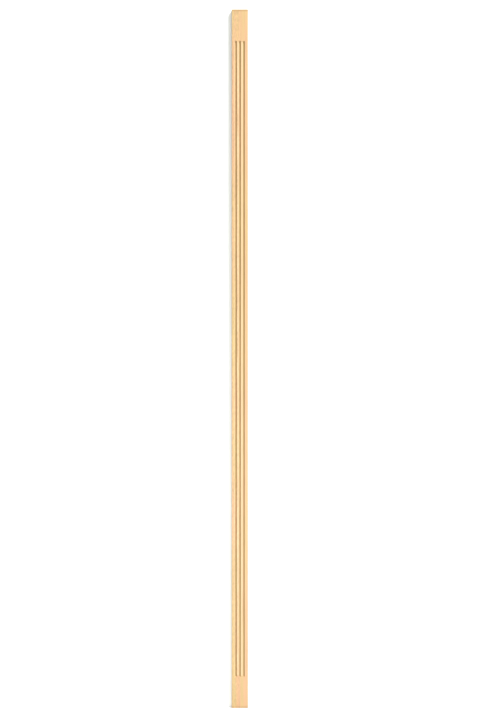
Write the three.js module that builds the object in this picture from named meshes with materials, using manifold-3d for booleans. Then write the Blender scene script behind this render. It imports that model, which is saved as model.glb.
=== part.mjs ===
// A slim fluted pilaster, worked from one length of hardwood board.
//
// Stopped flutes run up the face, between a plain block at the head and another at
// the foot. The back is flat, because it is glued and pinned to a wall or a cabinet.
// Units are millimetres, with +Z up. The origin is the middle of the flat back, and
// the fluted face looks along -Y.

import * as THREE from "three";
import { mergeVertices } from "three/addons/utils/BufferGeometryUtils.js";
import Module from "manifold-3d";

const wasm = await Module();
wasm.setup();

// The board
const HEIGHT = 2400;
const WIDTH = 55;
const THICKNESS = 10;
const ARRIS_RADIUS = 1; // rounding of the two long edges of the face

// The flutes, as a round-nosed cutter leaves them
const FLUTE_COUNT = 3;
const FLUTE_WIDTH = 8;
const FLUTE_DEPTH = 4;
const LAND_WIDTH = 5.6; // flat wood left between one flute and the next
const HEAD_BLOCK = 107; // plain wood above the flutes
const FOOT_BLOCK = 107; // plain wood below them

// How finely the curves are faceted
const ARRIS_STEPS = 4;
const CUTTER_SIDES = 40;
const CUTTER_NOSE_STEPS = 10;

// The board's section seen from above: square at the back, with the two long edges
// of the face rounded over.
function boardSection() {
  const side = WIDTH / 2;
  const face = -THICKNESS;
  const section = new THREE.Shape();
  section.moveTo(side, 0);
  section.lineTo(-side, 0);
  section.lineTo(-side, face + ARRIS_RADIUS);
  section.absarc(-side + ARRIS_RADIUS, face + ARRIS_RADIUS, ARRIS_RADIUS, Math.PI, 1.5 * Math.PI);
  section.lineTo(side - ARRIS_RADIUS, face);
  section.absarc(side - ARRIS_RADIUS, face + ARRIS_RADIUS, ARRIS_RADIUS, 1.5 * Math.PI, 2 * Math.PI);
  section.closePath();
  return section;
}

// The board before the flutes are cut, sawn square at both ends.
function plainBoard() {
  const board = new THREE.ExtrudeGeometry(boardSection(), {
    depth: HEIGHT,
    bevelEnabled: false,
    curveSegments: ARRIS_STEPS,
  });
  return board.translate(0, 0, -HEIGHT / 2);
}

// The round-nosed cutter's path along one flute. Its radius is that of the circle
// through both rims and the bottom of the flute, and each round end of the path
// meets the face half a flute's width beyond the centre of the nose.
function fluteCutter(acrossX) {
  const radius = ((FLUTE_WIDTH / 2) ** 2 + FLUTE_DEPTH ** 2) / (2 * FLUTE_DEPTH);
  const fluteLength = HEIGHT - HEAD_BLOCK - FOOT_BLOCK;
  const cutter = new THREE.CapsuleGeometry(
    radius,
    fluteLength - FLUTE_WIDTH,
    CUTTER_NOSE_STEPS,
    CUTTER_SIDES,
  );
  cutter.rotateX(Math.PI / 2);
  const axisY = -THICKNESS + FLUTE_DEPTH - radius;
  const middleZ = (FOOT_BLOCK - HEAD_BLOCK) / 2;
  return cutter.translate(acrossX, axisY, middleZ);
}

// Where the flutes run: a group centred on the face, one pitch apart.
function fluteCentres() {
  const pitch = FLUTE_WIDTH + LAND_WIDTH;
  const middle = (FLUTE_COUNT - 1) / 2;
  return Array.from({ length: FLUTE_COUNT }, (_, i) => (i - middle) * pitch);
}

// A closed three.js geometry as a solid that can be cut.
function solidOf(geometry) {
  geometry.deleteAttribute("normal");
  geometry.deleteAttribute("uv");
  const merged = mergeVertices(geometry);
  return new wasm.Manifold(
    new wasm.Mesh({
      numProp: 3,
      vertProperties: merged.attributes.position.array,
      triVerts: new Uint32Array(merged.index.array),
    }),
  );
}

// A cut solid as a three.js geometry again, with flat facets.
function geometryOf(solid) {
  const mesh = solid.getMesh();
  const indexed = new THREE.BufferGeometry();
  indexed.setAttribute("position", new THREE.BufferAttribute(mesh.vertProperties, mesh.numProp));
  indexed.setIndex(new THREE.BufferAttribute(mesh.triVerts, 1));
  const faceted = indexed.toNonIndexed();
  faceted.computeVertexNormals();
  return faceted;
}

// The one piece: the board with every flute cut into its face.
function flutedBoard() {
  const solid = fluteCentres().reduce(
    (board, acrossX) => board.subtract(solidOf(fluteCutter(acrossX))),
    solidOf(plainBoard()),
  );
  const maple = new THREE.MeshStandardMaterial({
    color: 0xd1ac7e,
    roughness: 0.55,
    metalness: 0,
  });
  const board = new THREE.Mesh(geometryOf(solid), maple);
  board.name = "fluted_board";
  return board;
}

const pilaster = new THREE.Group();
pilaster.add(flutedBoard());

export default pilaster;
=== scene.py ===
"""Dresses the fluted pilaster and sets it up for its picture.

The pilaster is one slim board of pale maple, fluted on its face and fixed by its flat
back. Everything is in metres, in the frame of the construction model: +Z runs up the
board, the back lies in the plane Y = 0, and the fluted face looks along -Y. Finishes
are drawn in millimetres, because that is the scale of grain and of tool marks.
"""

from __future__ import annotations

import logging
import math
from collections.abc import Mapping, Sequence
from dataclasses import dataclass
from enum import Enum

import bmesh
import bpy
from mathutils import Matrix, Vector


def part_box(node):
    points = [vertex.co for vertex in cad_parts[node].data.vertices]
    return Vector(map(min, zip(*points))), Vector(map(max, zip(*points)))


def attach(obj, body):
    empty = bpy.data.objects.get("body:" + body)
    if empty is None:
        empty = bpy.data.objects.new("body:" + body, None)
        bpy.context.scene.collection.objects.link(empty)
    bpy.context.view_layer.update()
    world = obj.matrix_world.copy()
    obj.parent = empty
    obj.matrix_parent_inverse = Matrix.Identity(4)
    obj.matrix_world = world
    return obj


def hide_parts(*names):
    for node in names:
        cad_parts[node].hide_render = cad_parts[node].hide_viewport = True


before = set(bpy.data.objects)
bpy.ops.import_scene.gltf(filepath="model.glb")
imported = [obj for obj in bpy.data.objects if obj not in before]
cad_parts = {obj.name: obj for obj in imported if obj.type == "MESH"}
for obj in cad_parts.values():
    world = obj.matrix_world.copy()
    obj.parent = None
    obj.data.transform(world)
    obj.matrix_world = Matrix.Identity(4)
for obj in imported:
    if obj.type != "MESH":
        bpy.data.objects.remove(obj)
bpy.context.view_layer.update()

Point = tuple[float, float, float]
Pair = tuple[float, float]
MapPoint = tuple[float, float]
Colour = tuple[float, float, float]

MM = 0.001
log = logging.getLogger("pilaster")


class Lane(Enum):
    """The strips that the board's surface is laid out in on its map, from left to right."""

    WRAP = "sides and back"
    FACE = "flat of the face"
    FLUTES = "flutes, side by side"


class Half(Enum):
    """The two halves of the board's length. The value says on which side of the middle one is."""

    LOWER = -1
    UPPER = 1


class Field:
    """A number that changes over a surface: the socket that carries it, with its maths."""

    def __init__(self, graph: Graph, socket: bpy.types.NodeSocket) -> None:
        """Wraps a socket of the graph."""
        self.graph = graph
        self.socket = socket

    def maths(self, operation: str, *values: Field | float) -> Field:
        """Adds one Math node.

        Args:
            operation: Blender's name of the operation.
            values: The node's values, in order.

        Returns:
            The node's result.
        """
        node = self.graph.node("ShaderNodeMath", {"operation": operation}, dict(enumerate(values)))
        return Field(self.graph, node.outputs[0])

    def __add__(self, other: Field | float) -> Field:
        """self + other."""
        return self.maths("ADD", self, other)

    __radd__ = __add__

    def __sub__(self, other: Field | float) -> Field:
        """self - other."""
        return self.maths("SUBTRACT", self, other)

    def __rsub__(self, other: float) -> Field:
        """other - self."""
        return self.maths("SUBTRACT", other, self)

    def __mul__(self, other: Field | float) -> Field:
        """self * other."""
        return self.maths("MULTIPLY", self, other)

    __rmul__ = __mul__

    def __truediv__(self, other: Field | float) -> Field:
        """self / other."""
        return self.maths("DIVIDE", self, other)

    def __abs__(self) -> Field:
        """The size of self, without its sign."""
        return self.maths("ABSOLUTE", self)

    def sine(self) -> Field:
        """The sine of self, in radians."""
        return self.maths("SINE", self)

    def root(self) -> Field:
        """The square root of self."""
        return self.maths("SQRT", self)

    def whole(self) -> Field:
        """self rounded down."""
        return self.maths("FLOOR", self)

    def rise(self, low: float, high: float) -> Field:
        """A smooth step.

        Args:
            low: Where the step starts, at 0.
            high: Where it ends, at 1. Below low, the step falls instead.

        Returns:
            The step's height at self.
        """
        start, end = min(low, high), max(low, high)
        ends = (0.0, 1.0) if low < high else (1.0, 0.0)
        sockets = {"From Min": start, "From Max": end, "To Min": ends[0], "To Max": ends[1]}
        settings = {"interpolation_type": "SMOOTHSTEP"}
        node = self.graph.node("ShaderNodeMapRange", settings, {"Value": self, **sockets})
        return Field(self.graph, node.outputs["Result"])


class Graph:
    """A node tree, and the one way to add a node to it.

    The numbers are those of the sockets that a Mix node uses for colours.
    """

    MIX_SHARE = 0
    FIRST_COLOUR = 6
    SECOND_COLOUR = 7
    MIXED_COLOUR = 2

    def __init__(self, tree: bpy.types.NodeTree) -> None:
        """Empties the tree and takes it over."""
        self.tree = tree
        self.tree.nodes.clear()

    def node(
        self,
        kind: str,
        settings: Mapping[str, object] | None = None,
        inputs: Mapping[str | int, object] | None = None,
    ) -> bpy.types.Node:
        """Adds a node.

        Args:
            kind: The node's type.
            settings: The node's own properties, which are set first.
            inputs: Values, fields or sockets for its inputs, by name or by number.

        Returns:
            The new node.
        """
        made = self.tree.nodes.new(kind)
        for name, value in (settings or {}).items():
            setattr(made, name, value)
        for key, value in (inputs or {}).items():
            source = value.socket if isinstance(value, Field) else value
            if isinstance(source, bpy.types.NodeSocket):
                self.tree.links.new(source, made.inputs[key])
            else:
                made.inputs[key].default_value = source
        return made

    def mix(
        self,
        share: Field | float,
        first: Colour | bpy.types.NodeSocket,
        second: Colour | bpy.types.NodeSocket,
    ) -> bpy.types.NodeSocket:
        """Blends two colours.

        Args:
            share: How much of the second colour there is, from 0 to 1.
            first: The colour at 0.
            second: The colour at 1.

        Returns:
            The socket of the blended colour.
        """
        colours = {self.FIRST_COLOUR: first, self.SECOND_COLOUR: second}
        inputs = {key: (*c, 1.0) if isinstance(c, tuple) else c for key, c in colours.items()}
        node = self.node("ShaderNodeMix", {"data_type": "RGBA"}, {self.MIX_SHARE: share, **inputs})
        return node.outputs[self.MIXED_COLOUR]

    def scaled(self, colour: bpy.types.NodeSocket, by: Field) -> bpy.types.NodeSocket:
        """The colour made lighter or darker by a field around 1."""
        node = self.node("ShaderNodeVectorMath", {"operation": "SCALE"}, {0: colour, "Scale": by})
        return node.outputs["Vector"]


@dataclass(frozen=True)
class Pattern:
    """One pattern that fills the wood, measured in millimetres.

    The grain is how long one blot of the pattern is along X, Y and Z. The start keeps the
    pattern apart from the others, and the detail is how many finer layers are added.
    """

    grain: Point
    start: float
    detail: float = 1.0


@dataclass(frozen=True)
class Dashes:
    """Short scattered dashes, at most one to a cell of the pattern.

    The radius is a dash's half width as a share of its cell, and the share is how many of
    the cells have one.
    """

    cell: Pattern
    radius: float
    share: float


class Solid:
    """The space that a piece is cut from, measured in millimetres, and what fills it.

    The starts of the patterns lie along one slanting line, and the blur softens the choice of
    the cells that have a dash.
    """

    START_LINE: Point = (1.0, 0.37, 1.61)
    CHANCE_BLUR: float = 0.05

    def __init__(self, graph: Graph) -> None:
        """Adds the nodes that tell where a point of the surface is.

        Args:
            graph: The node tree of the finish.
        """
        self.graph = graph
        place = graph.node("ShaderNodeTexCoord").outputs["Object"]
        scaled = graph.node("ShaderNodeVectorMath", {"operation": "SCALE"}, {0: place, "Scale": 1 / MM})
        self.place = scaled.outputs["Vector"]
        apart = graph.node("ShaderNodeSeparateXYZ", None, {0: self.place})
        self.x, self.y, self.z = (Field(graph, socket) for socket in apart.outputs)

    def stretched(self, pattern: Pattern) -> bpy.types.NodeSocket:
        """Coordinates in which each blot of a pattern is one unit long.

        Args:
            pattern: The pattern.

        Returns:
            The socket of the coordinates.
        """
        by = tuple(1 / length for length in pattern.grain)
        away = tuple(pattern.start * share for share in self.START_LINE)
        settings = {"operation": "MULTIPLY_ADD"}
        node = self.graph.node("ShaderNodeVectorMath", settings, {0: self.place, 1: by, 2: away})
        return node.outputs["Vector"]

    def cloud(self, pattern: Pattern) -> Field:
        """Smooth noise.

        Args:
            pattern: The noise's grain, start and detail.

        Returns:
            The noise, from about -1 to 1.
        """
        inputs = {"Vector": self.stretched(pattern), "Scale": 1.0, "Detail": pattern.detail}
        node = self.graph.node("ShaderNodeTexNoise", {"noise_dimensions": "3D"}, inputs)
        return (Field(self.graph, node.outputs["Fac"]) - 0.5) * 2.0

    def dashes(self, dashes: Dashes) -> Field:
        """Scattered dashes, each as long as its cell allows.

        Args:
            dashes: Their cells, their width and how many there are.

        Returns:
            1 in a dash and 0 outside.
        """
        inputs = {"Vector": self.stretched(dashes.cell), "Scale": 1.0}
        node = self.graph.node("ShaderNodeTexVoronoi", {"feature": "F1"}, inputs)
        chance = self.graph.node("ShaderNodeSeparateColor", None, {0: node.outputs["Color"]})
        least = 1 - dashes.share
        drawn = Field(self.graph, chance.outputs[0]).rise(least, least + self.CHANCE_BLUR)
        return Field(self.graph, node.outputs["Distance"]).rise(dashes.radius, dashes.radius / 2) * drawn

    def chance(self, number: Field) -> Field:
        """A random number from 0 to 1 that depends on a whole number alone.

        Args:
            number: The whole number.

        Returns:
            The random number.
        """
        settings = {"noise_dimensions": "1D"}
        node = self.graph.node("ShaderNodeTexWhiteNoise", settings, {"W": number})
        return Field(self.graph, node.outputs["Value"])


@dataclass(frozen=True)
class Regions:
    """Where the parts of the board's surface are: each field is 1 there and 0 elsewhere.

    The ends are the two sawn faces, and the end bands and long rims are the narrow bands
    beside the board's edges; the end bands carry painted shade. The hollows grow towards the
    bottoms of the flutes and carry painted shade, and the lands are the flat wood between and
    beside the flutes, which carry a painted highlight. The planed faces are the back and
    the two sides. The figured part is the left half, where the wood is the more lively.
    """

    ends: Field
    end_shade_bands: Field
    long_rims: Field
    figured: Field
    flutes: Field
    shaded_hollows: Field
    lands: Field
    planed: Field


@dataclass(frozen=True)
class Figure:
    """The figure of the wood.

    Late wood closes each growth ring, and the fibre is the finest grain. Streaks and mottle
    make the wood lighter and darker, and the drift changes its hue. The heart is a reddish
    streak, the flecks are those of the rays, and the minerals are longer dark dashes.
    """

    late_wood: Field
    fibre: Field
    streak: Field
    mottle: Field
    drift: Field
    heart: Field
    flecks: Field
    minerals: Field


@dataclass(frozen=True)
class Maple:
    """Pale maple, sanded and given one thin satin coat.

    The figure is that of a tree trunk whose pith ran behind the board and to the left
    of it, so the face shows nearly straight lines and the ends show slanting arcs. The
    good years are slow waves in the rings' width, each with its length and its size. The
    tones say how strongly each layer colours the wood. Some layers are painted light:
    painted shade in the flutes' hollows and near the sawn ends, and a painted highlight
    on the lands. Places, sizes, widths, pitches, heights and depths are in millimetres.
    """

    straw: Colour = (0.607, 0.436, 0.199)
    blush: Colour = (0.656, 0.397, 0.227)
    late_wood: Colour = (0.480, 0.270, 0.115)
    heart: Colour = (0.600, 0.345, 0.160)
    fleck: Colour = (0.385, 0.205, 0.080)
    # Painted shade near the sawn ends. The same tone also darkens the end grain and the long edges.
    soak_and_shade: Colour = (0.440, 0.260, 0.105)
    # Painted shade for the bottoms of the flutes.
    hollow_shade: Colour = (0.235, 0.175, 0.048)
    # Painted highlight for the flat wood between and beside the flutes.
    land_highlight: Colour = (0.760, 0.565, 0.325)

    late_tone: float = 0.34
    heart_tone: float = 0.50
    fleck_tone: float = 0.42
    mineral_tone: float = 0.30
    # The end-band tone is painted shade. The long-rim tone darkens the long edges, and the end tone darkens
    # the end grain.
    end_shade_tone: float = 0.78
    long_rim_tone: float = 0.25
    end_tone: float = 0.20
    # How strongly the painted shade darkens the flutes' bottoms.
    hollow_shade_tone: float = 0.39
    # How strongly the painted highlight lightens the lands.
    land_highlight_tone: float = 0.80
    fibre_tone: float = 0.055
    streak_tone: float = 0.22
    mottle_tone: float = 0.22
    quiet_share: float = 0.5
    drift_spread: float = 0.35

    pith: Pair = (-75.0, 55.0)
    ring_width: float = 2.8
    good_years: Sequence[Pair] = ((15.0, 0.45), (41.6, 1.2))
    late_start: float = 0.30
    late_peak: float = 0.93
    faintest_line: float = 0.3
    lean: float = 9.0
    lean_x: Pattern = Pattern((700.0, 700.0, 620.0), 21.0)
    lean_y: Pattern = Pattern((700.0, 700.0, 540.0), 33.0)
    ripple: Pattern = Pattern((15.0, 15.0, 170.0), 41.0)
    ripple_size: float = 1.3
    shiver: Pattern = Pattern((3.0, 3.0, 48.0), 47.0)
    shiver_size: float = 0.28
    fibre: Pattern = Pattern((0.35, 0.35, 26.0), 3.1, 2.0)
    streak: Pattern = Pattern((3.6, 3.6, 150.0), 7.7)
    mottle: Pattern = Pattern((4.0, 4.0, 11.0), 91.0)
    drift: Pattern = Pattern((13.0, 22.0, 420.0), 55.0)
    heart_line: float = -9.5
    heart_width: float = 4.5
    heart_bend: Pattern = Pattern((300.0, 300.0, 260.0), 61.0)
    heart_bend_size: float = 6.0
    heart_fade: Pattern = Pattern((300.0, 300.0, 120.0), 67.0)
    flecks: Dashes = Dashes(Pattern((1.3, 1.3, 7.0), 11.3), 0.16, 0.5)
    minerals: Dashes = Dashes(Pattern((3.4, 6.0, 30.0), 17.9), 0.32, 0.55)

    fibre_height: float = 0.010
    late_height: float = 0.012
    fleck_depth: float = 0.030
    cutter_pitch: float = 1.9
    cutter_height: float = 0.0035
    planer_pitch: float = 3.1
    planer_height: float = 0.004
    saw_centre: Pair = (-130.0, 60.0)
    saw_pitch: float = 1.3
    saw_height: float = 0.020
    unevenness: Pattern = Pattern((30.0, 30.0, 60.0), 71.0)
    mark_strength: float = 0.6
    mark_spread: float = 0.5
    saw_fuzz: Pattern = Pattern((0.8, 0.8, 9.0), 83.0)

    roughness: float = 0.46
    fibre_gloss: float = 0.05
    late_gloss: float = 0.05
    end_gloss: float = 0.18
    specular: float = 0.35
    coat: float = 0.18
    coat_roughness: float = 0.28

    def material(self, board: FlutedBoard) -> bpy.types.Material:
        """Draws the finish.

        Args:
            board: The board that wears it, which says where its faces are.

        Returns:
            The material.
        """
        made = bpy.data.materials.new("satin_maple")
        made.use_nodes = True
        graph = Graph(made.node_tree)
        solid = Solid(graph)
        regions = board.regions(solid)
        figure = self.figure(solid, regions)
        height = self.relief(solid, figure, regions)
        bump = graph.node("ShaderNodeBump", None, {"Strength": 1.0, "Distance": MM, "Height": height})
        uneven = figure.fibre * self.fibre_gloss + figure.late_wood * self.late_gloss
        skin = graph.node(
            "ShaderNodeBsdfPrincipled",
            None,
            {
                "Base Color": self.colour(graph, figure, regions),
                "Roughness": self.roughness + uneven + regions.ends * self.end_gloss,
                "Coat Weight": self.coat,
                "Coat Roughness": self.coat_roughness,
                "Specular IOR Level": self.specular,
                "Normal": bump.outputs["Normal"],
            },
        )
        graph.node("ShaderNodeOutputMaterial", None, {"Surface": skin.outputs[0]})
        return made

    def figure(self, solid: Solid, regions: Regions) -> Figure:
        """Draws the figure of the wood.

        Args:
            solid: The space that the board is cut from.
            regions: Where the parts of the surface are.

        Returns:
            The figure.
        """
        ring = self.ring_number(solid)
        lively = regions.figured * (1 - self.quiet_share) + self.quiet_share
        return Figure(
            late_wood=self.late_wood_share(solid, ring),
            fibre=solid.cloud(self.fibre),
            streak=solid.cloud(self.streak) * lively,
            mottle=solid.cloud(self.mottle) * regions.figured,
            drift=solid.cloud(self.drift).rise(-self.drift_spread, self.drift_spread),
            heart=self.heart_streak(solid),
            flecks=solid.dashes(self.flecks),
            minerals=solid.dashes(self.minerals) * regions.figured,
        )

    def ring_number(self, solid: Solid) -> Field:
        """How many growth rings lie between the pith and each point, with a fraction.

        The pith leans a little along the board, and the rings ripple and differ in width.

        Args:
            solid: The space that the board is cut from.

        Returns:
            The number of rings.
        """
        across = solid.x - self.pith[0] + solid.cloud(self.lean_x) * self.lean
        behind = solid.y - self.pith[1] + solid.cloud(self.lean_y) * self.lean
        radius = (across * across + behind * behind).root()
        ripple = solid.cloud(self.ripple) * self.ripple_size + solid.cloud(self.shiver) * self.shiver_size
        for length, size in self.good_years:
            ripple = ripple + (radius * (math.tau / length)).sine() * size
        return (radius + ripple) / self.ring_width

    def late_wood_share(self, solid: Solid, ring: Field) -> Field:
        """The darker line that closes each ring, more or less strong from ring to ring.

        Args:
            solid: The space that the board is cut from.
            ring: The number of rings from the pith.

        Returns:
            The share of late wood, from 0 to 1.
        """
        number = ring.whole()
        along = ring - number
        line = along.rise(self.late_start, self.late_peak) * along.rise(1.0, self.late_peak)
        return line * (solid.chance(number) * (1 - self.faintest_line) + self.faintest_line)

    def heart_streak(self, solid: Solid) -> Field:
        """The reddish streak that wanders along the board, and fades out here and there.

        Args:
            solid: The space that the board is cut from.

        Returns:
            1 in the middle of the streak and 0 outside.
        """
        away = abs(solid.x - self.heart_line + solid.cloud(self.heart_bend) * self.heart_bend_size)
        shows = solid.cloud(self.heart_fade).rise(-self.drift_spread, self.drift_spread)
        return away.rise(self.heart_width, 0.0) * shows

    def colour(self, graph: Graph, figure: Figure, regions: Regions) -> bpy.types.NodeSocket:
        """Draws the wood's colour, with painted shade in the flutes' hollows and near the sawn
        ends, a painted highlight on the lands, and darker end grain and long edges.

        Args:
            graph: The node tree of the finish.
            figure: The figure of the wood.
            regions: Where the parts of the surface are.

        Returns:
            The socket of the colour.
        """
        # Painted shade near the sawn ends, with the darker end grain and long edges.
        soak_and_shade = (
            regions.end_shade_bands * self.end_shade_tone
            + regions.long_rims * self.long_rim_tone
            + regions.ends * self.end_tone
        )
        layers = (
            (figure.late_wood * self.late_tone, self.late_wood),
            (figure.flecks * self.fleck_tone, self.fleck),
            (figure.minerals * self.mineral_tone, self.fleck),
            # Painted highlight on the lands.
            (regions.lands * self.land_highlight_tone, self.land_highlight),
            (figure.heart * self.heart_tone, self.heart),
            (soak_and_shade, self.soak_and_shade),
            # Painted shade in the flutes' hollows.
            (regions.shaded_hollows * self.hollow_shade_tone, self.hollow_shade),
        )
        colour = graph.mix(figure.drift, self.straw, self.blush)
        for share, tone in layers:
            colour = graph.mix(share, colour, tone)
        grain = figure.fibre * self.fibre_tone + figure.mottle * self.mottle_tone
        return graph.scaled(colour, 1.0 + grain + figure.streak * self.streak_tone)

    def relief(self, solid: Solid, figure: Figure, regions: Regions) -> Field:
        """Draws the grain and the marks that the cutter, the planer and the saw left.

        Args:
            solid: The space that the board is cut from.
            figure: The figure of the wood. Late wood stands proud, and flecks are sunk.
            regions: Where the parts of the surface are.

        Returns:
            The height, in millimetres.
        """
        grain = figure.fibre * self.fibre_height + figure.late_wood * self.late_height
        uneven = solid.cloud(self.unevenness) * self.mark_spread + self.mark_strength
        cutter = (solid.z * (math.tau / self.cutter_pitch)).sine() * self.cutter_height * regions.flutes
        planer = (solid.z * (math.tau / self.planer_pitch)).sine() * self.planer_height * regions.planed
        across, behind = solid.x - self.saw_centre[0], solid.y - self.saw_centre[1]
        blade = (across * across + behind * behind).root()
        teeth = (blade * (math.tau / self.saw_pitch)).sine() + solid.cloud(self.saw_fuzz)
        saw = teeth * self.saw_height * regions.ends
        return grain - figure.flecks * self.fleck_depth + (cutter + planer) * uneven + saw


@dataclass(frozen=True)
class PlainFinish:
    """An even matt paint, for the floor and the wall."""

    name: str
    colour: Colour = (0.93, 0.93, 0.92)
    roughness: float = 0.9
    specular: float = 0.1
    one_sided: bool = False

    def material(self) -> bpy.types.Material:
        """Draws the finish. A one-sided one is clear from behind, so it never hides the board.

        Returns:
            The material.
        """
        made = bpy.data.materials.new(self.name)
        made.use_nodes = True
        graph = Graph(made.node_tree)
        paint = {
            "Base Color": (*self.colour, 1.0),
            "Roughness": self.roughness,
            "Specular IOR Level": self.specular,
        }
        surface = graph.node("ShaderNodeBsdfPrincipled", None, paint).outputs[0]
        if self.one_sided:
            behind = graph.node("ShaderNodeNewGeometry").outputs["Backfacing"]
            clear = graph.node("ShaderNodeBsdfTransparent").outputs[0]
            surface = graph.node("ShaderNodeMixShader", None, {0: behind, 1: surface, 2: clear}).outputs[0]
        graph.node("ShaderNodeOutputMaterial", None, {"Surface": surface})
        return made


class SheetMesh:
    """Rectangular sheets of points, each with its place on the surface map, welded into one mesh.

    Points nearer than WELD become one, and an edge that turns by more than SHARP stays sharp.
    """

    MAP_NAME = "OFBake"
    WELD = 0.001 * MM
    SHARP = math.radians(40)

    def __init__(self) -> None:
        """Starts without a sheet."""
        self.points: list[Point] = []
        self.map_points: list[MapPoint] = []
        self.faces: list[tuple[int, ...]] = []

    def add_sheet(self, rows: Sequence[Sequence[Point]], map_rows: Sequence[Sequence[MapPoint]]) -> None:
        """Adds a sheet of quads.

        Args:
            rows: The sheet's points, row by row, with as many in each row.
            map_rows: Their places on the surface map.
        """
        start = len(self.points)
        wide = len(rows[0])
        for row, map_row in zip(rows, map_rows):
            self.points.extend(row)
            self.map_points.extend(map_row)
        for i in range(len(rows) - 1):
            for j in range(wide - 1):
                corner = start + i * wide + j
                self.faces.append((corner, corner + 1, corner + wide + 1, corner + wide))

    def add_polygon(self, ring: Sequence[Point], map_ring: Sequence[MapPoint]) -> None:
        """Adds one flat face inside a ring of points.

        Args:
            ring: The points, in order.
            map_ring: Their places on the surface map.
        """
        start = len(self.points)
        self.points.extend(ring)
        self.map_points.extend(map_ring)
        self.faces.append(tuple(range(start, len(self.points))))

    def build(self, name: str) -> bpy.types.Object:
        """Welds the sheets, turns their faces outwards and smooths them.

        Args:
            name: The object's name.

        Returns:
            The object, linked to the scene.
        """
        mesh = bpy.data.meshes.new(name)
        mesh.from_pydata(self.points, [], self.faces)
        layer = mesh.uv_layers.new(name=self.MAP_NAME)
        for loop in mesh.loops:
            layer.uv[loop.index].vector = self.map_points[loop.vertex_index]
        work = bmesh.new()
        work.from_mesh(mesh)
        bmesh.ops.remove_doubles(work, verts=work.verts, dist=self.WELD)
        bmesh.ops.dissolve_degenerate(work, edges=work.edges, dist=self.WELD)
        bmesh.ops.recalc_face_normals(work, faces=work.faces)
        work.to_mesh(mesh)
        work.free()
        mesh.shade_smooth()
        mesh.set_sharp_from_angle(angle=self.SHARP)
        made = bpy.data.objects.new(name, mesh)
        bpy.context.scene.collection.objects.link(made)
        return made


@dataclass(frozen=True)
class RimPoint:
    """A point of a flute's section, from its bottom to the flat of the face.

    It lies so far out from the flute's middle, so deep, and so far along the surface.
    """

    out: float
    depth: float
    run: float


@dataclass(frozen=True)
class Station:
    """A height at which the board's section is drawn, and how far open the flutes are there."""

    z: float
    opening: float


@dataclass(frozen=True)
class Stretch:
    """One half of the board's length, with the stations in it from its lower to its upper end."""

    half: Half
    stations: Sequence[Station]


@dataclass(frozen=True)
class FluteShape:
    """A stopped flute, cut with a round-nosed cutter and softened at its rim by sanding."""

    width: float = 8.0 * MM
    depth: float = 4.0 * MM
    rim_radius: float = 0.25 * MM
    nose_steps: int = 12
    rim_steps: int = 3

    def section(self) -> list[RimPoint]:
        """Half of the flute's section, which both the straight and the round ends share.

        Returns:
            Its points, from the bottom out to the flat.
        """
        cutter = ((self.width / 2) ** 2 + self.depth**2) / (2 * self.depth)
        above = cutter - self.depth
        rim_out = math.sqrt((cutter + self.rim_radius) ** 2 - (above + self.rim_radius) ** 2)
        turn = math.atan2(rim_out, above + self.rim_radius)
        places = [(0.0, self.depth)]
        for i in range(1, self.nose_steps + 1):
            angle = turn * i / self.nose_steps
            places.append((cutter * math.sin(angle), cutter * math.cos(angle) - above))
        for i in range(1, self.rim_steps + 1):
            angle = turn * (1 - i / self.rim_steps)
            out = rim_out - self.rim_radius * math.sin(angle)
            places.append((out, self.rim_radius * (1 - math.cos(angle))))
        run = 0.0
        points = [RimPoint(*places[0], run)]
        for before, place in zip(places, places[1:]):
            run += math.dist(before, place)
            points.append(RimPoint(*place, run))
        return points


@dataclass(frozen=True)
class SurfaceMap:
    """How the board's surface is laid out flat: in strips, with the upper half beside the lower.

    The total is the width of one half's strips, in metres. The rim and the top are where the
    strips start and stop, as shares of the map's height.
    """

    foot: float
    middle: float
    head: float
    lane_starts: Mapping[Lane, float]
    total: float
    top: float = 0.94
    rim: float = 0.004

    def at(self, lane: Lane, across: float, z: float, half: Half) -> MapPoint:
        """Finds a place on the map.

        Args:
            lane: The strip.
            across: How far into the strip the point is, in metres.
            z: The point's height, in metres.
            half: The half of the board that its face belongs to.

        Returns:
            The place, from 0 to 1 both ways.
        """
        low, high = (self.middle, self.head) if half is Half.UPPER else (self.foot, self.middle)
        share = (z - low) / (high - low)
        u = (self.lane_starts[lane] + across + self.left_of(half)) / (2 * self.total)
        return u, self.rim + share * (self.top - self.rim)

    def left_of(self, half: Half) -> float:
        """How wide what lies to the left of a half's strips is, in metres."""
        return self.total if half is Half.UPPER else 0.0

    def on_end(self, x: float, y: float, half: Half) -> MapPoint:
        """Finds a place on a sawn end, which lies above the strips, at its true shape.

        Args:
            x: The point's X, in metres.
            y: The point's Y, in metres.
            half: The half of the board that the end closes.

        Returns:
            The place, from 0 to 1 both ways.
        """
        scale = 1 / (2 * self.total)
        middle = self.left_of(half) + self.total / 2
        return (middle + x) * scale, self.top + 2 * self.rim - y * scale


@dataclass(frozen=True)
class Zones:
    """How far the parts of the board's finish reach, painted shade and highlight among them,
    and how soft their edges are, in millimetres.
    """

    crisp: float = 0.5
    long_rim: float = 2.5
    # How far from each sawn end the painted shade reaches.
    end_shade_reach: float = 10.0
    # How far up the flutes' walls the painted shade reaches.
    hollow_shade_depth: float = 3.4
    # How deep, and how far beside the flutes, the painted highlight on the lands reaches.
    land_highlight_depth: float = 1.7
    land_highlight_margin: float = 2.8
    figure_blur: float = 8.0


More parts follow.
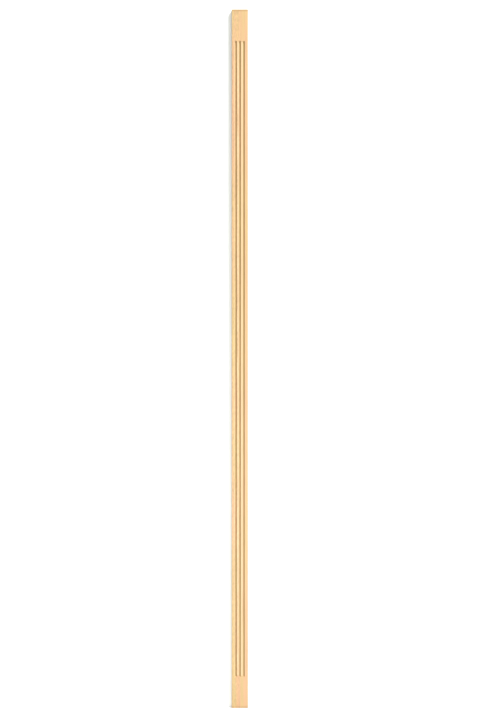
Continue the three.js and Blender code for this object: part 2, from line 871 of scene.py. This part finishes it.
@dataclass(frozen=True)
class FlutedBoard:
    """The whole pilaster: one board with flutes that stop short of its head and foot.

    The wander is the largest share by which the arris, the rounding of the face's long edges,
    strays from its size. It is made of waves, each with its length in metres and its start in
    radians. The eases are the softened edges of the back and the ends. The margin is the width
    of the narrow faces beside each edge, which keep the flats flat under smooth shading, and
    the gutter parts the strips of the surface map. The rows and steps say how finely the rest
    is drawn.
    """

    width: float
    thickness: float
    height: float
    finish: Maple
    flute: FluteShape = FluteShape()
    flute_count: int = 3
    land: float = 5.6 * MM
    head_block: float = 107.0 * MM
    foot_block: float = 107.0 * MM
    arris: float = 1.0 * MM
    arris_wander: float = 0.12
    arris_waves: Sequence[Pair] = ((0.69, 0.0), (0.265, 1.3), (0.103, 2.1))
    back_ease: float = 0.3 * MM
    end_ease: float = 0.4 * MM
    margin: float = 0.4 * MM
    row_step: float = 12.0 * MM
    block_rows: int = 9
    end_rows: int = 4
    nose_rows: int = 10
    arris_steps: int = 5
    back_steps: int = 2
    flat_steps: int = 4
    gutter: float = 3.0 * MM
    zones: Zones = Zones()

    def build(self) -> bpy.types.Object:
        """Makes the board and dresses it.

        Returns:
            The finished piece.
        """
        stations = self.stations()
        layout = self.surface_map(stations)
        mesh = SheetMesh()
        middle = len(stations) // 2
        lower = Stretch(Half.LOWER, stations[: middle + 1])
        upper = Stretch(Half.UPPER, stations[middle:])
        for stretch in (lower, upper):
            self.add_flats(mesh, layout, stretch)
            self.add_wrap(mesh, layout, stretch)
            self.add_flutes(mesh, layout, stretch)
            self.add_end(mesh, layout, stretch.half)
        board = mesh.build("maple_board")
        board.data.materials.append(self.finish.material(self))
        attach(board, "root")
        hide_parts("fluted_board")
        return board

    def flute_centres(self) -> list[float]:
        """Where the flutes run across the face, one pitch apart."""
        pitch = self.flute.width + self.land
        return [(i - (self.flute_count - 1) / 2) * pitch for i in range(self.flute_count)]

    def nose_height(self, half: Half) -> float:
        """Finds the centre of the round end that stops the flutes.

        Args:
            half: Which end's.

        Returns:
            Its height.
        """
        block = self.head_block if half is Half.UPPER else self.foot_block
        return half.value * (self.height / 2 - block - self.flute.width / 2)

    def regions(self, solid: Solid) -> Regions:
        """Marks the parts of the surface that differ in tone or in tool marks, and where shade and
        highlight are painted.

        Args:
            solid: The space that the board is cut from.

        Returns:
            The marks.
        """
        end, side, face = self.height / 2 / MM, self.width / 2 / MM, -self.thickness / MM
        bottom = face + self.flute.depth / MM
        outermost = (self.flute_centres()[-1] + self.flute.width / 2) / MM
        fluted = end - (self.head_block + self.foot_block) / 2 / MM
        zones, crisp = self.zones, self.zones.crisp
        along, aside = abs(solid.z), abs(solid.x)
        level = solid.y.rise(bottom + crisp, bottom) * along.rise(fluted + crisp, fluted)
        inside = level * aside.rise(outermost + crisp, outermost)
        # Painted highlight on the lands: a band just under the face, beside and between the flutes.
        land_highlight = solid.y.rise(face + zones.land_highlight_depth, face + zones.land_highlight_depth / 2)
        between = aside.rise(outermost + zones.land_highlight_margin, outermost)
        return Regions(
            ends=along.rise(end - crisp, end),
            # Painted shade near the sawn ends.
            end_shade_bands=along.rise(end - zones.end_shade_reach, end),
            long_rims=aside.rise(side - zones.long_rim, side),
            figured=solid.x.rise(zones.figure_blur, -zones.figure_blur),
            flutes=solid.y.rise(face, face + crisp) * inside,
            # Painted shade, growing towards the flutes' bottoms.
            shaded_hollows=solid.y.rise(bottom - zones.hollow_shade_depth, bottom) * inside,
            lands=land_highlight * between * along.rise(fluted, fluted - self.flute.width / MM),
            planed=solid.y.rise(-crisp, 0.0) + aside.rise(side - crisp, side),
        )

    def stations(self) -> list[Station]:
        """Every height at which the section is drawn, from the foot up.

        Returns:
            The stations. They are close together where an edge or a round end curves.
        """
        low, high = self.nose_height(Half.LOWER), self.nose_height(Half.UPPER)
        foot = self.end_stations(low)
        head = [Station(-s.z, s.opening) for s in reversed(self.end_stations(-high))]
        count = 2 * round((high - low) / self.row_step / 2)
        straight = [Station(low + (high - low) * i / count, 1.0) for i in range(1, count)]
        return foot + straight + head

    def end_stations(self, nose: float) -> list[Station]:
        """The stations from the foot's sawn end up to where the flutes are fully open.

        Args:
            nose: The height of the centre of the flutes' round ends.

        Returns:
            The stations.
        """
        foot = -self.height / 2
        rim = self.flute.section()[-1].out
        made = []
        for i in range(self.end_rows + 1):
            angle = math.pi / 2 * (1 - i / self.end_rows)
            made.append(Station(foot + self.end_ease * (1 - math.sin(angle)), 0.0))
        start, stop = foot + self.end_ease + self.margin, nose - rim
        for i in range(self.block_rows):
            made.append(Station(start + (stop - start) * i / self.block_rows, 0.0))
        for i in range(self.nose_rows + 1):
            angle = math.pi / 2 * (1 - i / self.nose_rows)
            opening = math.cos(angle) if i else 0.0
            made.append(Station(nose - rim * math.sin(angle), opening))
        return made

    def surface_map(self, stations: Sequence[Station]) -> SurfaceMap:
        """Plans the strips that the surface is laid out in.

        Args:
            stations: The heights at which the section is drawn.

        Returns:
            The plan.
        """
        _, _, wrap = self.wrap_section(self.arris)[-1]
        face = wrap + self.gutter
        flutes = face + self.width + self.gutter
        total = flutes + self.flute_count * self.flute_lane()
        starts = {Lane.WRAP: self.gutter / 2, Lane.FACE: face, Lane.FLUTES: flutes}
        middle = stations[len(stations) // 2].z
        return SurfaceMap(stations[0].z, middle, stations[-1].z, starts, total)

    def flute_lane(self) -> float:
        """How wide a strip one flute takes on the map."""
        return 2 * self.flute.section()[-1].run + self.gutter

    def arris_at(self, z: float) -> float:
        """The rounding of the face's long edges, which sanding by hand left a little uneven.

        Args:
            z: The height.

        Returns:
            The radius.
        """
        waves = sum(math.sin(math.tau * z / length + start) for length, start in self.arris_waves)
        return self.arris * (1 + self.arris_wander * waves / len(self.arris_waves))

    def eased(self, x: float, y: float, z: float) -> Point:
        """Draws a point of the section in towards the middle near the sawn ends.

        Args:
            x: The point's X.
            y: The point's Y.
            z: The point's Z.

        Returns:
            The point, moved in where the end's edge is eased.
        """
        past = abs(z) - (self.height / 2 - self.end_ease)
        share = min(max(past / self.end_ease, 0.0), 1.0)
        inset = 2 * self.end_ease * (1 - math.sqrt(1 - share * share))
        centre = -self.thickness / 2
        return x * (1 - inset / self.width), centre + (y - centre) * (1 - inset / self.thickness), z

    def flat_columns(self, index: int, station: Station) -> list[float]:
        """Where the columns of one flat lie across the face.

        Args:
            index: The flat's number from the left, with one more flat than flutes.
            station: The height.

        Returns:
            The columns, from left to right.
        """
        rim = self.flute.section()[-1].out * station.opening
        centres = self.flute_centres()
        edge = self.width / 2 - self.arris_at(station.z)
        left = centres[index - 1] + rim if index else -edge
        right = centres[index] - rim if index < self.flute_count else edge
        inner_left, inner_right = left + self.margin, right - self.margin
        step = (inner_right - inner_left) / self.flat_steps
        return [left, *(inner_left + step * i for i in range(self.flat_steps + 1)), right]

    def add_flats(self, mesh: SheetMesh, layout: SurfaceMap, stretch: Stretch) -> None:
        """Adds the flat wood of the face: the margins, the lands and the plain blocks.

        Args:
            mesh: The mesh.
            layout: The surface map.
            stretch: The half of the board.
        """
        for index in range(self.flute_count + 1):
            rows, map_rows = [], []
            for station in stretch.stations:
                columns = self.flat_columns(index, station)
                rows.append([self.eased(x, -self.thickness, station.z) for x in columns])
                across = [x + self.width / 2 for x in columns]
                map_rows.append([layout.at(Lane.FACE, a, station.z, stretch.half) for a in across])
            mesh.add_sheet(rows, map_rows)

    def wrap_section(self, arris: float) -> list[tuple[float, float, float]]:
        """The section from the face's left edge round the sides and the back to its right edge.

        Args:
            arris: The rounding of the face's edges at this height.

        Returns:
            Its points: X, Y and the way along the surface to each.
        """
        side, face, ease = self.width / 2, -self.thickness, self.back_ease
        quarter = [math.pi / 2 * i / self.arris_steps for i in range(self.arris_steps + 1)]
        front = [(-side + arris - arris * math.sin(a), face + arris - arris * math.cos(a)) for a in quarter]
        flank = [(-side, face + arris + self.margin), (-side, face / 2), (-side, -ease - self.margin)]
        corner = [math.pi / 2 * i / self.back_steps for i in range(self.back_steps + 1)]
        rear = [(-side + ease - ease * math.cos(a), -ease + ease * math.sin(a)) for a in corner]
        left = [*front, *flank, *rear, (-side + ease + self.margin, 0.0), (-side / 2, 0.0)]
        places = [*left, (0.0, 0.0), *((-x, y) for x, y in reversed(left))]
        run, made = 0.0, [(*places[0], 0.0)]
        for before, place in zip(places, places[1:]):
            run += math.dist(before, place)
            made.append((*place, run))
        return made

    def add_wrap(self, mesh: SheetMesh, layout: SurfaceMap, stretch: Stretch) -> None:
        """Adds the rounded edges, the two sides and the back as one sheet.

        Args:
            mesh: The mesh.
            layout: The surface map.
            stretch: The half of the board.
        """
        rows, map_rows = [], []
        for station in stretch.stations:
            section = self.wrap_section(self.arris_at(station.z))
            rows.append([self.eased(x, y, station.z) for x, y, _ in section])
            map_rows.append([layout.at(Lane.WRAP, run, station.z, stretch.half) for _, _, run in section])
        mesh.add_sheet(rows, map_rows)

    def add_flutes(self, mesh: SheetMesh, layout: SurfaceMap, stretch: Stretch) -> None:
        """Adds each flute's straight length and its round end in this half of the board.

        Args:
            mesh: The mesh.
            layout: The surface map.
            stretch: The half of the board.
        """
        section = self.flute.section()
        heights = [s.z for s in stretch.stations if s.opening == 1.0]
        across = [(-p.out, p.depth, -p.run) for p in reversed(section[1:])]
        across += [(p.out, p.depth, p.run) for p in section]
        for number, centre in enumerate(self.flute_centres()):
            lane = (number + 0.5) * self.flute_lane()
            rows = [[(centre + o, -self.thickness + d, z) for o, d, _ in across] for z in heights]
            map_rows = [
                [layout.at(Lane.FLUTES, lane + run, z, stretch.half) for _, _, run in across]
                for z in heights
            ]
            mesh.add_sheet(rows, map_rows)
            self.add_round_end(mesh, layout, centre, lane, stretch.half)

    def add_round_end(
        self, mesh: SheetMesh, layout: SurfaceMap, centre: float, lane: float, half: Half
    ) -> None:
        """Adds the quarter ball that stops a flute, as a fan round its centre.

        Args:
            mesh: The mesh.
            layout: The surface map.
            centre: Where the flute runs across the face.
            lane: The middle of the flute's strip on the map.
            half: Which end of the flute it stops.
        """
        nose = self.nose_height(half)
        rows, map_rows = [], []
        for i in range(2 * self.nose_rows + 1):
            angle = math.pi / 2 * i / self.nose_rows
            right, up = math.cos(angle), math.sin(angle) * half.value
            row, map_row = [], []
            for p in self.flute.section():
                row.append((centre + p.out * right, -self.thickness + p.depth, nose + p.out * up))
                map_row.append(layout.at(Lane.FLUTES, lane + p.run * right, nose + p.run * up, half))
            rows.append(row)
            map_rows.append(map_row)
        mesh.add_sheet(rows, map_rows)

    def add_end(self, mesh: SheetMesh, layout: SurfaceMap, half: Half) -> None:
        """Closes the board with a sawn end: a narrow frame along its edge, and one flat face inside.

        Args:
            mesh: The mesh.
            layout: The surface map.
            half: Which end.
        """
        z = self.height / 2 * half.value
        station = Station(z, 0.0)
        face = []
        for index in range(self.flute_count + 1):
            face += [(x, -self.thickness) for x in self.flat_columns(index, station)[:-1]]
        around = [(x, y) for x, y, _ in reversed(self.wrap_section(self.arris_at(z)))]
        outline = [self.eased(x, y, z) for x, y in face + around]
        centre = -self.thickness / 2
        by_x, by_y = 1 - 2 * self.margin / self.width, 1 - 2 * self.margin / self.thickness
        inner = [(x * by_x, centre + (y - centre) * by_y, z) for x, y, _ in outline]
        mapped = [[layout.on_end(x, y, half) for x, y, _ in ring] for ring in (outline, inner)]
        mesh.add_sheet([outline, inner], mapped)
        mesh.add_polygon(inner[:-1], mapped[1][:-1])


@dataclass(frozen=True)
class SoftBox:
    """A square studio lamp behind a diffuser. It lights the scene but doesn't show in it."""

    name: str
    place: Point
    aim: Point
    size: float
    power: float

    def build(self) -> None:
        """Hangs the lamp and turns it towards its aim."""
        data = bpy.data.lights.new(self.name, "AREA")
        data.shape = "SQUARE"
        data.size = self.size
        data.energy = self.power
        lamp = bpy.data.objects.new(self.name, data)
        lamp.location = self.place
        lamp.rotation_euler = (Vector(self.aim) - Vector(self.place)).to_track_quat("-Z", "Y").to_euler()
        lamp.visible_camera = False
        bpy.context.scene.collection.objects.link(lamp)


@dataclass(frozen=True)
class Studio:
    """A pale floor, a white wall behind the board, daylight all round and two lamps.

    The main lamp stands to the upper right and shines down along the board, so the head
    gets the most of it, and the board's shadow on the wall is strongest there. The low
    lamp in front of the foot makes up for that, and its place is measured from the foot.
    The main lamp's bearing is 0 straight in front and grows to the right.
    """

    board: FlutedBoard
    daylight: float = 0.56
    main_bearing: float = math.radians(53)
    main_elevation: float = math.radians(48)
    main_distance: float = 6.0
    main_size: float = 0.35
    main_power: float = 596.0
    low_place: Point = (0.30, -2.15, 0.45)
    low_size: float = 1.2
    low_power: float = 16.5
    wall_gap: float = 0.2 * MM
    wall_colour: Colour = (0.90, 0.93, 0.895)
    floor_size: float = 1000.0
    wall_height: float = 12.0

    def build(self) -> None:
        """Sets up the stage, the lamps and the daylight, in that order."""
        self.add_stage()
        head, foot = self.board.height / 2, -self.board.height / 2
        level = self.main_distance * math.cos(self.main_elevation)
        place = (
            level * math.sin(self.main_bearing),
            -level * math.cos(self.main_bearing),
            head + self.main_distance * math.sin(self.main_elevation),
        )
        SoftBox("main_lamp", place, (0.0, 0.0, head), self.main_size, self.main_power).build()
        x, y, above = self.low_place
        aim = (0.0, 0.0, foot + above)
        SoftBox("low_lamp", (x, y, foot + above), aim, self.low_size, self.low_power).build()
        self.add_daylight()
        bpy.context.scene.view_settings.view_transform = "Standard"

    def add_stage(self) -> None:
        """Lays the floor under the foot, and stands the wall just behind the back.

        The wall shows the board's shadow, but it neither stops light nor sends any back.
        """
        foot = -self.board.height / 2
        half = self.floor_size / 2
        floor = [(-half, -half, foot), (half, -half, foot), (half, half, foot), (-half, half, foot)]
        self.add_sheet("floor", floor, PlainFinish("floor_paint"))
        back, top = self.wall_gap, foot + self.wall_height
        corners = [(-half, back, foot), (half, back, foot), (half, back, top), (-half, back, top)]
        paint = PlainFinish("wall_paint", self.wall_colour, one_sided=True)
        wall = self.add_sheet("wall", corners, paint)
        wall.visible_diffuse = False
        wall.visible_glossy = False
        wall.visible_shadow = False

    def add_sheet(self, name: str, corners: Sequence[Point], finish: PlainFinish) -> bpy.types.Object:
        """Lays one flat sheet of the stage.

        Args:
            name: The object's name.
            corners: Its corners, anticlockwise as seen from the side that shows.
            finish: Its paint.

        Returns:
            The sheet.
        """
        mesh = bpy.data.meshes.new(name)
        mesh.from_pydata(corners, [], [tuple(range(len(corners)))])
        mesh.materials.append(finish.material())
        made = bpy.data.objects.new(name, mesh)
        bpy.context.scene.collection.objects.link(made)
        return made

    def add_daylight(self) -> None:
        """Lights the scene evenly from all sides."""
        world = bpy.data.worlds.new("daylight")
        bpy.context.scene.world = world
        world.use_nodes = True
        graph = Graph(world.node_tree)
        white = (1.0, 1.0, 1.0, 1.0)
        sky = graph.node("ShaderNodeBackground", None, {"Color": white, "Strength": self.daylight})
        graph.node("ShaderNodeOutputWorld", None, {"Surface": sky.outputs[0]})


@dataclass(frozen=True)
class Viewpoint:
    """The photograph's view: level, straight on, with the board a little left of the middle.

    The pixel values are measured in the photograph's own frame.
    """

    board: FlutedBoard
    picture_width: float = 489.0
    picture_height: float = 716.0
    board_height_px: float = 698.4
    board_centre_px: Pair = (239.86, 358.8)
    distance: float = 3.7
    sensor: float = 36.0
    far: float = 1500.0

    def build(self) -> None:
        """Sets up the camera."""
        scale = self.board.height / self.board_height_px
        data = bpy.data.cameras.new("camera")
        data.sensor_width = self.sensor
        data.lens = self.distance / scale * self.sensor / self.picture_height
        data.clip_end = self.far
        camera = bpy.data.objects.new("camera", data)
        right = (self.picture_width / 2 - self.board_centre_px[0]) * scale
        above = (self.board_centre_px[1] - self.picture_height / 2) * scale
        camera.location = (right, -self.board.thickness - self.distance, above)
        camera.rotation_euler = (math.pi / 2, 0.0, 0.0)
        bpy.context.scene.collection.objects.link(camera)
        bpy.context.scene.camera = camera


def main() -> None:
    """Builds the pilaster, the studio and the camera, in that order."""
    logging.basicConfig(level=logging.INFO, format="%(message)s")
    low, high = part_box("fluted_board")
    size = high - low
    board = FlutedBoard(width=size.x, thickness=size.y, height=size.z, finish=Maple())
    piece = board.build()
    log.info("%s: %d faces", piece.name, len(piece.data.polygons))
    Studio(board).build()
    log.info("studio: floor, wall and lamps")
    Viewpoint(board).build()
    log.info("camera: set")


if __name__ == "__main__":
    main()
